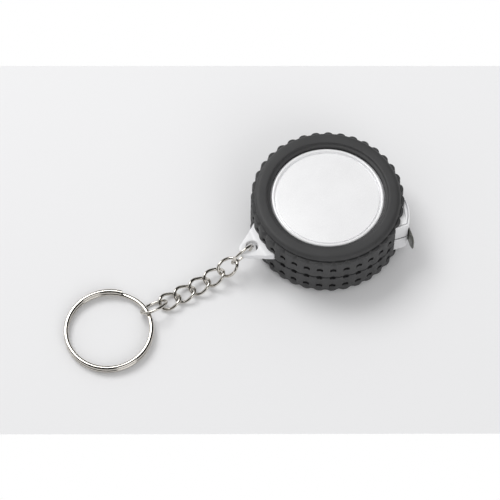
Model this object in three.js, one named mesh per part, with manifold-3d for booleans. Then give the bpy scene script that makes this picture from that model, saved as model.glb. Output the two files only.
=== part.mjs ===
import * as THREE from 'three';
import { mergeVertices } from 'three/addons/utils/BufferGeometryUtils.js';
import Module from 'manifold-3d';

// A pocket tape measure in a tyre-shaped case, with a key chain on an ear.
// Sizes are in millimetres. The origin is the middle of the rear disc's outer face, on the reel's
// axis. +Z runs through the case to the front disc, and +X is the way that the tape pulls out.
// Heights written as "rise" are measured from the middle plane, where the two shells meet.

// Fits
const clearance = 0.3; // between pieces that seat in each other or run past each other
const seatGap = 0.1; // between flat faces that lie on each other
const overrun = 1; // how far a cutter passes the face that it cuts

// Screw and post, in the middle
const screwShankRadius = 0.8;
const screwHeadRadius = 2;
const screwHeadHeight = 0.7;
const crossSlotWidth = 0.5;
const postWall = 1.3;
const bossLength = 2.4;
const pilotFloor = 0.5; // material left over the end of the screw's hole
const screwHoleRadius = screwShankRadius + clearance;
const postRadius = screwHoleRadius + postWall;

// Reel, spring and tape
const hubWall = 1.5;
const hubStandout = 0.7; // hub's thrust face, above the flange
const drumRadius = 9.9;
const drumWall = 0.9;
const flangeRim = 2.2; // flange beyond the straight tape
const flangeThickness = 0.9;
const tapeWidth = 6;
const tapeThickness = 0.15;
const tapeEdgeGap = 0.4; // beside the tape, on the reel and in the mouth
const windingTurns = 3.2;
const windingPitch = 0.57;
const leadGap = 0.376; // between the winding and the straight tape
const springThickness = 0.25;
const springHeight = 5.8;
const springTurns = 6.5;
const springSlotWidth = 0.85;
const bearingRadius = postRadius + clearance;
const hubRadius = bearingRadius + hubWall;
const windingInner = drumRadius + clearance;
const tapeOffset = windingInner + windingPitch * windingTurns + leadGap; // from the reel's axis
const flangeRadius = tapeOffset + flangeRim;
const flangeInnerRise = tapeWidth / 2 + tapeEdgeGap;
const flangeOuterRise = flangeInnerRise + flangeThickness;
const hubRise = flangeOuterRise + hubStandout;

// Case shells
const flangeGap = 0.9; // round the reel
const caseWall = 1.5;
const cavityRadius = flangeRadius + flangeGap;
const caseRadius = cavityRadius + caseWall;
const rootRadius = caseRadius - caseWall / 2; // where the mouth grows out of the wall
const joinRise = seatGap;
const plateInnerRise = hubRise + clearance;
const plateOuterRise = plateInnerRise + caseWall;

// Discs
const discInset = 1.3; // disc's edge inside the case's edge
const discThickness = 0.8;
const beadWidth = 1.1;
const beadHeight = 0.3;
const discRadius = caseRadius - discInset;
const middle = plateOuterRise + seatGap + discThickness; // height of the plane between the shells

// Tyre halves
const faceRecess = 1.4; // disc's face below the sidewall
const lipWidth = 0.95;
const lipDepth = 0.7; // how far the lip lies under the sidewall
const treadDepth = 3.85; // rubber outside the case
const shoulderInset = 0.45;
const shoulderWidth = 0.7;
const shoulderDrop = 0.45;
const valleyDepth = 0.7;
const shallowValleyDepth = 0.3;
const pitDepth = 1.05;
const lugHeight = 0.3;
const bridgeDrop = 0.15; // where two knobs join between a valley and a pit
const pitWidth = 1.5; // round the tyre, at the bottom of a pit
const pitBank = 0.45; // the sloped side of a pit
const knobsAround = 36;
const firstPitAngle = 5; // degrees from +X
const faceRise = middle + faceRecess;
const boreRadius = caseRadius + clearance;
const lipRadius = discRadius + clearance;
const sidewallInnerRadius = lipRadius + lipWidth;
const knobRadius = boreRadius + treadDepth;
const shoulderRadius = knobRadius - shoulderInset;
const sidewallOuterRadius = shoulderRadius - shoulderWidth;

// Mouth, where the tape comes out
const slotWidth = 2.1;
const mouthWall = 1.3;
const mouthHollowWidth = 3.75; // the hollow beside the tape's slot
const mouthStep = 0.6; // mouth's top below the case's outer face
const mouthDraft = 0.4;
const mouthFillet = 0.45;
const noseRadius = 12.85;
const noseInset = 0.2; // foremost point of the nose inside the tread's radius
const noseShift = 4.9; // nose's centre from the tape
const noseCornerRadius = 1.3;
const faceGrooveWidth = 0.25;
const faceGrooveDepth = 0.3;
const mouthHalfHeight = plateOuterRise - mouthStep;
const slotNear = tapeOffset + slotWidth / 2;
const slotFar = tapeOffset - slotWidth / 2;
const mouthSide = slotNear + mouthWall;
const mouthFarSide = slotFar - mouthWall - mouthHollowWidth - mouthWall;
const noseEnd = knobRadius - noseInset;
const noseCentreX = noseEnd - noseRadius;
const noseCentreY = noseShift - tapeOffset;

// End hook
const hookSeatDepth = 1.9; // from the nose's foremost point to the plate
const hookStandout = 3.35; // plate beyond the mouth's side
const hookPlateThickness = 0.45;
const hookLegThickness = 0.35;
const hookWidth = 6;
const hookCornerRadius = 1.8;
const rivetRadius = 0.5;
const rivetHeadRadius = 0.95;
const rivetHeadHeight = 0.15;
const rivetSeat = 0.05;
const rivetHoleGap = 0.2;
const rivetSpacing = 2.2;
const rivetInset = 1.7; // from the plate to the first rivet
const rivetEnd = 1.3; // from the last rivet to the leg's end
const hookBack = noseEnd - hookSeatDepth;
const hookReach = mouthSide + hookStandout;
const hookLegLength = rivetInset + rivetSpacing + rivetEnd;

// Key ear
const earAngle = 190.65; // degrees from +X
const earStandout = 6.8; // beyond the tread
const earTipRadius = 2.28;
const earEdgeAngle = 30; // between the ear's edge and its middle line
const earThickness = 2;
const earRootThickness = 3.4;
const earRampGap = 0.35; // between the tread and the ramp
const earRampLength = 1.4;
const earTipWall = 2.2; // beyond the hole
const earHoleRadius = 1.65;
const earChamfer = 0.25;
const earReach = knobRadius + earStandout;
const earHoleReach = earReach - earTipWall - earHoleRadius;
const earRampInner = knobRadius + earRampGap;
const earRampOuter = earRampInner + earRampLength;

// Chain, from the ear to the ring
const wireRadius = 0.42;
const linkGap = 0.3;
const loopHalfLength = 3.8;
const loopHalfWidth = 2.9;
const curbHalfLength = 2.95;
const curbHalfWidth = 2.3;
const curbTwist = -0.75; // how far a curb link's sides rise and fall from its plane
const firstLinkOut = 0.35; // first link's middle from the middle of the ear's tip, outwards
const firstLinkDrop = 1.28; // and below the middle plane
const linkSlopes = [43, 26, 14.5, 7, 2, 0, 0]; // degrees down, going outwards
const linkRolls = [76, -14, 0, 0, 0, 0, 44.7]; // degrees about the link's own length
const lastLinkNesting = 1.67; // how far the last link reaches into the one before
const floorGap = 0.02;

// Split ring
const ringDiameter = 25;
const ringWireWidth = 1.3;
const ringWireHeight = 1.12;
const ringWireChamfer = 0.35;
const ringTurnGap = 0.15;
const ringLinkGap = 0.48; // between the ring's wire and the end of the last link
const ringTilt = 1.95; // degrees, resting on the last link
const ringCrossover = 57; // degrees, where the wire climbs from one turn to the next
const ringStart = 166.8; // degrees, where the lower turn ends
const ringMeanRadius = (ringDiameter - ringWireWidth) / 2;

// Facets
const roundSteps = 60;
const smallSteps = 20;
const arcSteps = 6;
const linkSteps = 24;
const linkSides = 6;
const spiralSteps = 24;
const hiddenSteps = 40;
const rivetSteps = 12;
const ringStepAngle = 12;

const wasm = await Module();
wasm.setup();

// Meshes and solids

function signedVolume(positions, indices) {
  const corners = [new THREE.Vector3(), new THREE.Vector3(), new THREE.Vector3()];
  let total = 0;
  for (let i = 0; i < indices.length; i += 3) {
    corners.forEach((corner, k) => corner.fromArray(positions, indices[i + k] * 3));
    total += corners[0].dot(corners[1].cross(corners[2]));
  }
  return total;
}

// Joins shared vertices, drops empty triangles and turns the faces outwards.
function closedMesh(source) {
  const geometry = source.clone();
  geometry.deleteAttribute('normal');
  geometry.deleteAttribute('uv');
  const merged = mergeVertices(geometry);
  const positions = merged.attributes.position.array;
  const indices = [];
  for (let i = 0; i < merged.index.count; i += 3) {
    const [a, b, c] = [0, 1, 2].map((k) => merged.index.getX(i + k));
    if (a !== b && b !== c && c !== a) {
      indices.push(a, b, c);
    }
  }
  if (signedVolume(positions, indices) < 0) {
    indices.reverse();
  }
  merged.setIndex(indices);
  return merged;
}

function solid(geometry) {
  const mesh = closedMesh(geometry);
  return new wasm.Manifold(new wasm.Mesh({
    numProp: 3,
    vertProperties: new Float32Array(mesh.attributes.position.array),
    triVerts: new Uint32Array(mesh.index.array),
  }));
}

function geometryOf(manifold) {
  const mesh = manifold.getMesh();
  const geometry = new THREE.BufferGeometry();
  geometry.setAttribute('position', new THREE.BufferAttribute(mesh.vertProperties, 3));
  geometry.setIndex(new THREE.BufferAttribute(mesh.triVerts, 1));
  return geometry;
}

// Joins rings of points, each with as many points, into one closed surface.
// A closed loft goes round to its first ring, and an open one gets a fan at each end.
function loft(rings, isLoop = false) {
  const count = rings[0].length;
  const points = rings.flat();
  const indices = [];
  const lastRing = isLoop ? rings.length : rings.length - 1;
  for (let i = 0; i < lastRing; i += 1) {
    const below = i * count;
    const above = ((i + 1) % rings.length) * count;
    for (let j = 0; j < count; j += 1) {
      const next = (j + 1) % count;
      indices.push(below + j, below + next, above + next);
      indices.push(below + j, above + next, above + j);
    }
  }
  if (!isLoop) {
    [rings[0], rings[rings.length - 1]].forEach((ring, end) => {
      const centre = points.length;
      const start = end === 0 ? 0 : (rings.length - 1) * count;
      const sum = ring.reduce((total, point) => total.add(point), new THREE.Vector3());
      points.push(sum.divideScalar(count));
      for (let j = 0; j < count; j += 1) {
        const next = (j + 1) % count;
        const edge = end === 0 ? [start + next, start + j] : [start + j, start + next];
        indices.push(centre, ...edge);
      }
    });
  }
  const geometry = new THREE.BufferGeometry();
  geometry.setAttribute('position', new THREE.Float32BufferAttribute(points.flatMap((p) => p.toArray()), 3));
  geometry.setIndex(indices);
  return geometry;
}

// Turns a closed outline of [radius, rise] pairs round the reel's axis.
function turned(outline, side = 1, steps = roundSteps) {
  const points = [...outline, outline[0]].map(([radius, rise]) => new THREE.Vector2(radius, side * rise));
  const geometry = new THREE.LatheGeometry(points, steps);
  geometry.rotateX(Math.PI / 2);
  geometry.translate(0, 0, middle);
  return geometry;
}

function disc(radius, lowRise, highRise, side = 1, steps = roundSteps) {
  return turned([[0, lowRise], [radius, lowRise], [radius, highRise], [0, highRise]], side, steps);
}

function block(low, high) {
  const size = new THREE.Vector3().subVectors(high, low);
  const centre = new THREE.Vector3().addVectors(low, high).multiplyScalar(1 / 2);
  const geometry = new THREE.BoxGeometry(size.x, size.y, size.z);
  geometry.translate(centre.x, centre.y, centre.z);
  return geometry;
}

function atRise(points, side, rise) {
  return points.map(([x, y]) => new THREE.Vector3(x, y, middle + side * rise));
}

function arc(centreX, centreY, radius, fromAngle, toAngle, steps = arcSteps) {
  return Array.from({ length: steps + 1 }, (_, i) => {
    const angle = fromAngle + ((toAngle - fromAngle) * i) / steps;
    return [centreX + radius * Math.cos(angle), centreY + radius * Math.sin(angle)];
  });
}

// Mouth

// The mouth's outline from above: the side face, a round corner and the curved nose.
function mouthOutline(inset) {
  const side = mouthSide - inset;
  const nose = noseRadius - inset;
  const farSide = mouthFarSide + inset;
  const cornerY = noseCornerRadius - side;
  const reach = nose - noseCornerRadius;
  const cornerX = noseCentreX + Math.sqrt(reach ** 2 - (cornerY - noseCentreY) ** 2);
  const cornerAngle = Math.atan2(cornerY - noseCentreY, cornerX - noseCentreX);
  const farAngle = Math.asin((-farSide - noseCentreY) / nose);
  return [
    [Math.sqrt(rootRadius ** 2 - side ** 2), -side],
    ...arc(cornerX, cornerY, noseCornerRadius, -Math.PI / 2, cornerAngle),
    ...arc(noseCentreX, noseCentreY, nose, cornerAngle, farAngle).slice(1),
    [Math.sqrt(rootRadius ** 2 - farSide ** 2), -farSide],
  ];
}

function mouthBlock(side) {
  const filletRise = mouthHalfHeight - mouthFillet;
  const filletBulge = mouthFillet * (1 - Math.SQRT1_2);
  return solid(loft([
    atRise(mouthOutline(0), side, joinRise),
    atRise(mouthOutline(mouthDraft), side, filletRise),
    atRise(mouthOutline(mouthDraft + filletBulge), side, mouthHalfHeight - filletBulge),
    atRise(mouthOutline(mouthDraft + mouthFillet), side, mouthHalfHeight),
  ]));
}

// The room that the tyre halves leave round the mouth.
function mouthRoom(side) {
  const outline = mouthOutline(-clearance);
  return solid(loft([
    atRise(outline, side, -overrun),
    atRise(outline, side, mouthHalfHeight + clearance),
  ]));
}

// The fine groove that runs round the top of the mouth, just inside its fillet.
function mouthGroove(side) {
  const outerInset = mouthDraft + mouthFillet;
  const innerInset = outerInset + faceGrooveWidth;
  const [outer, inner] = [outerInset, innerInset].map((inset) => solid(loft([
    atRise(mouthOutline(inset), side, mouthHalfHeight - faceGrooveDepth),
    atRise(mouthOutline(inset), side, mouthHalfHeight + overrun),
  ])));
  return outer.subtract(inner).subtract(solid(disc(caseRadius + overrun, 0, faceRise, side)));
}

// The slot for the tape, a hollow beside it, and the nose's seat for the hook.
function mouthHollows() {
  const slotHalf = tapeWidth / 2 + tapeEdgeGap;
  const cutEnd = noseEnd + overrun;
  const slot = block(
    new THREE.Vector3(cavityRadius / 2, -slotNear, middle - slotHalf),
    new THREE.Vector3(cutEnd, -slotFar, middle + slotHalf),
  );
  const hollowHalf = mouthHalfHeight - mouthWall;
  const hollow = block(
    new THREE.Vector3(cavityRadius / 2, mouthWall - slotFar, middle - hollowHalf),
    new THREE.Vector3(noseEnd - mouthDraft - mouthWall, -mouthFarSide - mouthWall, middle + hollowHalf),
  );
  const seatHalf = hookWidth / 2 + clearance;
  const seat = block(
    new THREE.Vector3(hookBack - clearance, -mouthSide - overrun, middle - seatHalf),
    new THREE.Vector3(cutEnd, -slotFar, middle + seatHalf),
  );
  return solid(slot).add(solid(hollow)).add(solid(seat));
}

// Key ear

// The ear's outline in its own frame, where X runs out from the reel's axis.
function earOutline(grow) {
  const tipRadius = earTipRadius + grow;
  const edgeAngle = THREE.MathUtils.degToRad(earEdgeAngle);
  const turn = Math.PI / 2 - edgeAngle;
  const tipX = earReach - earTipRadius;
  const edgeX = tipX + tipRadius * Math.cos(turn);
  const edgeY = tipRadius * Math.sin(turn);
  const rootX = cavityRadius - caseWall;
  const rootY = edgeY + (edgeX - rootX) * Math.tan(edgeAngle);
  return [[rootX, -rootY], ...arc(tipX, 0, tipRadius, -turn, turn), [rootX, rootY]];
}

function earPrism(grow, halfThickness, chamfer = 0, holeRadius = 0) {
  const shape = new THREE.Shape(earOutline(grow).map(([x, y]) => new THREE.Vector2(x, y)));
  if (holeRadius > 0) {
    shape.holes.push(new THREE.Path().absarc(earHoleReach, 0, holeRadius, 0, 2 * Math.PI, true));
  }
  const geometry = new THREE.ExtrudeGeometry(shape, {
    depth: 2 * (halfThickness - chamfer),
    curveSegments: smallSteps / 2,
    bevelEnabled: chamfer > 0,
    bevelThickness: chamfer,
    bevelSize: chamfer,
    bevelOffset: -chamfer,
    bevelSegments: 1,
  });
  geometry.translate(0, 0, middle - halfThickness + chamfer);
  geometry.rotateZ(THREE.MathUtils.degToRad(earAngle));
  return solid(geometry);
}

// A flat ear that thickens in a ramp where it leaves the tyre.
function earSolid() {
  const plate = earPrism(0, earThickness / 2, earChamfer, earHoleRadius);
  const thick = earRootThickness / 2;
  const thin = earThickness / 2 - earChamfer;
  const ramp = solid(turned([
    [0, -thick],
    [earRampInner, -thick],
    [earRampOuter, -thin],
    [earRampOuter, thin],
    [earRampInner, thick],
    [0, thick],
  ]));
  const root = earPrism(0, earRootThickness).intersect(ramp);
  const inside = solid(disc(cavityRadius + clearance, -faceRise, faceRise));
  return plate.add(root).subtract(inside);
}

function earRoom() {
  return earPrism(clearance, earRootThickness / 2 + clearance);
}

// Shells

function shellCup(side) {
  return solid(turned([
    [0, plateOuterRise],
    [caseRadius, plateOuterRise],
    [caseRadius, joinRise],
    [cavityRadius, joinRise],
    [cavityRadius, plateInnerRise],
    [0, plateInnerRise],
  ], side));
}

function shellWithMouth(side) {
  const cavity = solid(disc(cavityRadius, -overrun, plateInnerRise, side));
  return shellCup(side).add(mouthBlock(side).subtract(cavity)).subtract(mouthHollows());
}

const bossRise = plateInnerRise - bossLength; // where the front boss meets the rear post
const screwHeadSeatRise = plateOuterRise - screwHeadHeight - seatGap;
const screwEndRise = plateOuterRise - pilotFloor - clearance;

function rearShell() {
  const postTop = -(bossRise - seatGap);
  const post = solid(disc(postRadius, postTop, plateInnerRise + caseWall / 2, -1, smallSteps));
  const hole = solid(disc(screwHoleRadius, -faceRise, faceRise, -1, smallSteps));
  const counterbore = solid(disc(screwHeadRadius + clearance, screwHeadSeatRise, faceRise, -1, smallSteps));
  const springHalf = springHeight / 2 + clearance;
  const springSlot = solid(block(
    new THREE.Vector3(0, -springSlotWidth / 2, middle - springHalf),
    new THREE.Vector3(postRadius + overrun, springSlotWidth / 2, middle + springHalf),
  ));
  return shellWithMouth(-1)
    .add(post)
    .add(earSolid())
    .subtract(hole)
    .subtract(counterbore)
    .subtract(springSlot);
}

function frontShell() {
  const boss = solid(disc(postRadius, bossRise, plateInnerRise + caseWall / 2, 1, smallSteps));
  const pilotRadius = screwShankRadius + seatGap;
  const pilot = solid(disc(pilotRadius, bossRise - overrun, plateOuterRise - pilotFloor, 1, smallSteps));
  return shellWithMouth(1)
    .add(boss)
    .subtract(pilot)
    .subtract(earRoom())
    .subtract(mouthGroove(1));
}

function caseScrew() {
  const head = turned([
    [0, screwHeadSeatRise + seatGap],
    [screwHeadRadius, screwHeadSeatRise + seatGap],
    [screwHeadRadius, plateOuterRise],
    [0, plateOuterRise],
  ], -1, smallSteps);
  const shank = disc(screwShankRadius, -screwEndRise, plateOuterRise - screwHeadHeight / 2, -1, smallSteps);
  const slotTop = middle - plateOuterRise;
  const arms = [[screwHeadRadius / 2, crossSlotWidth / 2], [crossSlotWidth / 2, screwHeadRadius / 2]];
  const [first, second] = arms.map(([halfX, halfY]) => solid(block(
    new THREE.Vector3(-halfX, -halfY, slotTop - overrun),
    new THREE.Vector3(halfX, halfY, slotTop + screwHeadHeight / 2),
  )));
  return solid(head).add(solid(shank)).subtract(first).subtract(second);
}

// A stamped face plate with a rolled bead round its rim.
function facePlate(side) {
  const face = middle;
  const back = middle - discThickness;
  const beadInner = discRadius - beadWidth;
  const beadTop = discRadius - beadWidth / 2;
  const shoulder = beadWidth / 4;
  return turned([
    [0, face],
    [beadInner, face],
    [beadTop - shoulder, face + beadHeight],
    [beadTop + shoulder, face + beadHeight],
    [discRadius, face],
    [discRadius, back],
    [0, back],
  ], side);
}

// Tyre

// The tread of one half, from its own top down: how deep each row lies as a share of the tread's
// width, and the radius on the knobs and between them. The valleys at the top open between round
// knobs, the deep pits follow under a bridge, and a small lug stands under each pit.
function treadRows(topKnob, topValley, bottomRadius) {
  const bridge = knobRadius - bridgeDrop;
  const pit = knobRadius - pitDepth;
  const lug = knobRadius + lugHeight;
  return [
    { depthShare: 0, knob: topKnob, pit: Math.min(topKnob, topValley) },
    { depthShare: 0.05, knob: knobRadius, pit: topValley },
    { depthShare: 0.24, knob: knobRadius, pit: bridge },
    { depthShare: 0.55, knob: knobRadius, pit: bridge },
    { depthShare: 0.6, knob: knobRadius, pit },
    { depthShare: 0.68, knob: knobRadius, pit },
    { depthShare: 0.74, knob: knobRadius, pit: lug },
    { depthShare: 0.95, knob: knobRadius, pit: lug },
    { depthShare: 1, knob: bottomRadius, pit: bottomRadius },
  ];
}

function treadSolid(rows, topRise, bottomRise) {
  const pitch = (2 * Math.PI) / knobsAround;
  const halfPit = pitWidth / 2 / knobRadius;
  const bank = halfPit + pitBank / knobRadius;
  const start = THREE.MathUtils.degToRad(firstPitAngle);
  const ringAt = ({ depthShare, knob, pit }) => {
    const height = middle + topRise + (bottomRise - topRise) * depthShare;
    return Array.from({ length: knobsAround }, (_, i) => [
      [start + i * pitch - bank, knob],
      [start + i * pitch - halfPit, pit],
      [start + i * pitch + halfPit, pit],
      [start + i * pitch + bank, knob],
    ]).flat().map(([angle, radius]) => (
      new THREE.Vector3(radius * Math.cos(angle), radius * Math.sin(angle), height)
    ));
  };
  return solid(loft(rows.map(ringAt)));
}

function tyreHalf(side) {
  const seam = seatGap;
  const shoulder = faceRise - shoulderDrop;
  const rows = side > 0
    ? treadRows(shoulderRadius, knobRadius - shallowValleyDepth, knobRadius)
    : treadRows(knobRadius, knobRadius - valleyDepth, shoulderRadius);
  const tread = side > 0
    ? treadSolid(rows, shoulder, seam)
    : treadSolid(rows, -seam, -shoulder);
  const sidewall = solid(turned([
    [0, shoulder - caseWall],
    [shoulderRadius - shoulderDrop, shoulder - caseWall],
    [shoulderRadius - shoulderDrop, shoulder],
    [sidewallOuterRadius, faceRise],
    [0, faceRise],
  ], side));
  const stepRound = lipDepth / 2;
  const bore = solid(turned([
    [0, -overrun],
    [boreRadius, -overrun],
    [boreRadius, plateOuterRise + clearance],
    [lipRadius, plateOuterRise + clearance],
    [lipRadius, faceRise - lipDepth],
    [sidewallInnerRadius - stepRound, faceRise - lipDepth],
    [sidewallInnerRadius, faceRise - stepRound],
    [sidewallInnerRadius, faceRise + overrun],
    [0, faceRise + overrun],
  ], side));
  return tread.add(sidewall).subtract(bore).subtract(mouthRoom(side)).subtract(earRoom());
}

// Reel, spring and tape

function tapeReel() {
  const drumInner = drumRadius - drumWall;
  return turned([
    [bearingRadius, -hubRise],
    [hubRadius, -hubRise],
    [hubRadius, -flangeOuterRise],
    [flangeRadius, -flangeOuterRise],
    [flangeRadius, -flangeInnerRise],
    [drumRadius, -flangeInnerRise],
    [drumRadius, flangeInnerRise],
    [flangeRadius, flangeInnerRise],
    [flangeRadius, flangeOuterRise],
    [drumRadius, flangeOuterRise],
    [drumRadius, hubRise],
    [drumInner, hubRise],
    [drumInner, -flangeInnerRise],
    [bearingRadius, -flangeInnerRise],
  ], 1, hiddenSteps);
}

// A strip that stands on edge along a path in the XY plane.
function ribbon(path, thickness, height) {
  const rings = path.map(([x, y], i) => {
    const [beforeX, beforeY] = path[Math.max(i - 1, 0)];
    const [afterX, afterY] = path[Math.min(i + 1, path.length - 1)];
    const along = new THREE.Vector2(afterX - beforeX, afterY - beforeY).normalize();
    const across = new THREE.Vector2(-along.y, along.x).multiplyScalar(thickness / 2);
    return [[1, -1], [1, 1], [-1, 1], [-1, -1]].map(([sideways, upright]) => new THREE.Vector3(
      x + sideways * across.x, y + sideways * across.y, middle + (upright * height) / 2,
    ));
  });
  return loft(rings);
}

function spiral(innerRadius, pitch, turns, startAngle) {
  const count = Math.round(turns * spiralSteps);
  return Array.from({ length: count + 1 }, (_, i) => {
    const turn = (turns * i) / count;
    const radius = innerRadius + pitch * turn;
    const angle = startAngle + 2 * Math.PI * turn;
    return [radius * Math.cos(angle), radius * Math.sin(angle)];
  });
}

// The least gap between one turn of a strip and the next, measured on the path's points.
function leastSelfGap(path, thickness) {
  let least = Infinity;
  for (let i = 0; i < path.length; i += 1) {
    for (let j = i + spiralSteps / 2; j < path.length; j += 1) {
      least = Math.min(least, Math.hypot(path[i][0] - path[j][0], path[i][1] - path[j][1]));
    }
  }
  return least - thickness;
}

function powerSpring() {
  const inner = bearingRadius + springThickness;
  const outer = drumRadius - drumWall - clearance - springThickness;
  const coil = spiral(inner, (outer - inner) / springTurns, springTurns, springSlotWidth / inner);
  const tongue = [[postRadius - springSlotWidth, 0], [inner, 0]];
  console.log('least gap between spring turns', leastSelfGap(coil, springThickness).toFixed(3));
  return ribbon([...tongue, ...coil], springThickness, springHeight);
}

function tapeWinding() {
  const outerEnd = -Math.PI / 2; // where the straight tape leaves the winding
  const coil = spiral(windingInner, windingPitch, windingTurns, outerEnd - 2 * Math.PI * windingTurns);
  console.log('least gap between tape turns', leastSelfGap(coil, tapeThickness).toFixed(3));
  return ribbon(coil, tapeThickness, tapeWidth);
}

function rivetX(index) {
  return hookBack - rivetInset - index * rivetSpacing;
}

function rivetHoles() {
  return [0, 1].map((index) => {
    const radius = rivetRadius + rivetHoleGap;
    const hole = new THREE.CylinderGeometry(radius, radius, 2 * overrun, rivetSteps);
    hole.translate(rivetX(index), -tapeOffset, middle);
    return solid(hole);
  }).reduce((all, hole) => all.add(hole));
}

function tapeLead() {
  const strip = block(
    new THREE.Vector3(clearance, -tapeOffset - tapeThickness / 2, middle - tapeWidth / 2),
    new THREE.Vector3(hookBack - clearance, -tapeOffset + tapeThickness / 2, middle + tapeWidth / 2),
  );
  return solid(strip).subtract(rivetHoles());
}

// An L of steel: a leg along the tape and a plate across the mouth.
function endHook() {
  const legInner = -tapeOffset - tapeThickness / 2 - seatGap;
  const legOuter = legInner - hookLegThickness;
  const face = hookBack + hookPlateThickness;
  const bend = hookPlateThickness + hookLegThickness;
  const outline = new THREE.Shape();
  outline.moveTo(hookBack - hookLegLength, legOuter);
  outline.lineTo(hookBack - hookLegThickness / 2, legOuter);
  outline.lineTo(hookBack, legOuter - hookLegThickness / 2);
  outline.lineTo(hookBack, -hookReach);
  outline.lineTo(face, -hookReach);
  outline.lineTo(face, legInner - bend);
  outline.absarc(face - bend, legInner - bend, bend, 0, Math.PI / 2, false);
  outline.lineTo(hookBack - hookLegLength, legInner);
  const bent = new THREE.ExtrudeGeometry(outline, {
    depth: hookWidth, bevelEnabled: false, curveSegments: arcSteps,
  });
  bent.translate(0, 0, middle - hookWidth / 2);
  const half = hookWidth / 2;
  const front = new THREE.Shape();
  front.moveTo(-half, -tapeOffset + overrun);
  front.lineTo(-half, hookCornerRadius - hookReach);
  front.absarc(hookCornerRadius - half, hookCornerRadius - hookReach, hookCornerRadius, Math.PI, 1.5 * Math.PI);
  front.absarc(half - hookCornerRadius, hookCornerRadius - hookReach, hookCornerRadius, -Math.PI / 2, 0);
  front.lineTo(half, -tapeOffset + overrun);
  const frame = new THREE.ExtrudeGeometry(front, {
    depth: hookLegLength + hookPlateThickness + 2 * overrun, bevelEnabled: false, curveSegments: arcSteps,
  });
  frame.rotateY(-Math.PI / 2);
  frame.translate(face + overrun, 0, middle);
  return solid(bent).intersect(solid(frame)).subtract(rivetHoles());
}

function hookRivet(index) {
  const tapeFace = tapeThickness / 2 + rivetSeat;
  const legFace = -tapeThickness / 2 - seatGap - hookLegThickness - rivetSeat;
  const outline = [
    [0, legFace - rivetHeadHeight],
    [rivetHeadRadius, legFace - rivetHeadHeight],
    [rivetHeadRadius, legFace],
    [rivetRadius, legFace],
    [rivetRadius, tapeFace],
    [rivetHeadRadius, tapeFace],
    [rivetHeadRadius, tapeFace + rivetHeadHeight],
    [0, tapeFace + rivetHeadHeight],
  ].map(([radius, along]) => new THREE.Vector2(radius, along));
  const geometry = new THREE.LatheGeometry([...outline, outline[0]], rivetSteps);
  geometry.translate(rivetX(index), -tapeOffset, middle);
  return geometry;
}

// Chain and ring

// A loop of round wire. The twist lifts opposite quarters of it out of its plane.
function linkGeometry(halfLength, halfWidth, twist) {
  const rings = Array.from({ length: linkSteps }, (_, i) => {
    const turn = (2 * Math.PI * i) / linkSteps;
    const centre = new THREE.Vector3(
      halfLength * Math.cos(turn), halfWidth * Math.sin(turn), twist * Math.sin(2 * turn),
    );
    const along = new THREE.Vector3(
      -halfLength * Math.sin(turn), halfWidth * Math.cos(turn), 2 * twist * Math.cos(2 * turn),
    ).normalize();
    const outward = new THREE.Vector3().crossVectors(along, new THREE.Vector3(0, 0, 1)).normalize();
    const upward = new THREE.Vector3().crossVectors(outward, along);
    return Array.from({ length: linkSides }, (__, j) => {
      const angle = (2 * Math.PI * (j + 1 / 2)) / linkSides;
      return centre.clone()
        .addScaledVector(outward, wireRadius * Math.cos(angle))
        .addScaledVector(upward, wireRadius * Math.sin(angle));
    });
  });
  return loft(rings, true);
}

// The middles of the links, each hanging a gap away from the one before. X runs out along the
// chain and Z is measured from the middle plane.
function linkPlaces() {
  const down = (slope) => {
    const angle = THREE.MathUtils.degToRad(slope);
    return new THREE.Vector3(Math.cos(angle), 0, -Math.sin(angle));
  };
  const earTipMiddle = earReach - earTipWall / 2;
  const places = [new THREE.Vector3(earTipMiddle + firstLinkOut, 0, -firstLinkDrop)];
  const last = linkSlopes.length - 1;
  for (let i = 1; i <= last; i += 1) {
    const before = i === 1 ? loopHalfLength : curbHalfLength;
    const farEnd = places[i - 1].clone().addScaledVector(down(linkSlopes[i - 1]), before);
    if (i === last) {
      const roll = THREE.MathUtils.degToRad(linkRolls[last]);
      const rest = wireRadius + floorGap + loopHalfWidth * Math.sin(roll) - faceRise;
      places.push(new THREE.Vector3(farEnd.x - lastLinkNesting + loopHalfLength, 0, rest));
    } else {
      const between = (linkSlopes[i - 1] + linkSlopes[i]) / 2;
      const nearEnd = farEnd.addScaledVector(down(between), -(2 * wireRadius + linkGap));
      places.push(nearEnd.addScaledVector(down(linkSlopes[i]), curbHalfLength));
    }
  }
  return places;
}

// Flat wire in nearly two turns: it runs clockwise in the lower turn, climbs once and runs on.
function ringGeometry() {
  const climb = ringWireHeight + ringTurnGap;
  const oneTurn = 360 - ringCrossover;
  const total = oneTurn + 360;
  const count = Math.round(total / ringStepAngle);
  const [halfWidth, halfHeight] = [ringWireWidth / 2, ringWireHeight / 2];
  const section = [
    [halfWidth, -halfHeight + ringWireChamfer],
    [halfWidth, halfHeight - ringWireChamfer],
    [halfWidth - ringWireChamfer, halfHeight],
    [-halfWidth + ringWireChamfer, halfHeight],
    [-halfWidth, halfHeight - ringWireChamfer],
    [-halfWidth, -halfHeight + ringWireChamfer],
    [-halfWidth + ringWireChamfer, -halfHeight],
    [halfWidth - ringWireChamfer, -halfHeight],
  ];
  const rings = Array.from({ length: count + 1 }, (_, i) => {
    const travelled = (total * i) / count;
    const share = THREE.MathUtils.clamp((travelled - oneTurn) / ringCrossover, 0, 1);
    const lift = halfHeight + (climb * (1 - Math.cos(Math.PI * share))) / 2;
    const angle = THREE.MathUtils.degToRad(ringStart - travelled);
    return section.map(([sideways, upright]) => new THREE.Vector3(
      (ringMeanRadius + sideways) * Math.cos(angle),
      (ringMeanRadius + sideways) * Math.sin(angle),
      lift + upright,
    ));
  });
  return loft(rings);
}

// Materials

function plastic(color, roughness) {
  return new THREE.MeshStandardMaterial({ color, roughness, metalness: 0 });
}

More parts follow.
